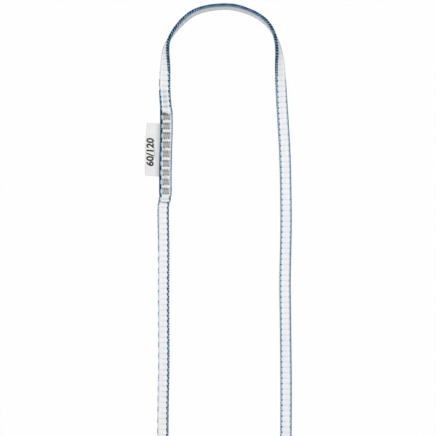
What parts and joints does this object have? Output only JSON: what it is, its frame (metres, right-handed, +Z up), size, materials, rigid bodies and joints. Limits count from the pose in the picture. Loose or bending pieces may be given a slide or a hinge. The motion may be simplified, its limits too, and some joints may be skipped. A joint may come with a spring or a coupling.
{
  "type": "climbing sling",
  "caption": "Sewn loop of narrow ladder-woven webbing with coloured edge yarns, joined by zigzag bar tacks in a two-layer splice, with a folded cloth label tab.",
  "frame": {"origin": "middle of the loop's footprint, on the surface that it lies on", "axes": "+Y along the loop towards the bend next to the splice, +Z up from the surface, +X from the leg with the splice to the plain leg"},
  "size_m": [0.1025, 0.5584, 0.0081],
  "materials": {
    "white_yarn": "woven, matt",
    "blue_edge_yarn": "woven, matt",
    "grey_tack_thread": "twisted thread, matt",
    "label_cloth": "satin ribbon"
  },
  "bodies": {
    "sling": {"web_body": "white_yarn", "edge_yarn_inner": "blue_edge_yarn", "edge_yarn_outer": "blue_edge_yarn", "bar_tack_1": "grey_tack_thread", "bar_tack_2": "grey_tack_thread", "bar_tack_3": "grey_tack_thread", "bar_tack_4": "grey_tack_thread", "bar_tack_5": "grey_tack_thread", "bar_tack_6": "grey_tack_thread", "bar_tack_7": "grey_tack_thread", "bar_tack_8": "grey_tack_thread", "bar_tack_9": "grey_tack_thread", "label_anchor": "label_cloth"},
    "label": {"label_tab": "label_cloth"}
  },
  "joints": [
    {"name": "label_fold", "type": "hinge", "parent": "sling", "child": "label", "pos_m": [-0.04086, 0.17805, 0.00255], "axis": [0.0108, 0.9999, 0], "range_deg": [-75, 100]}
  ]
}
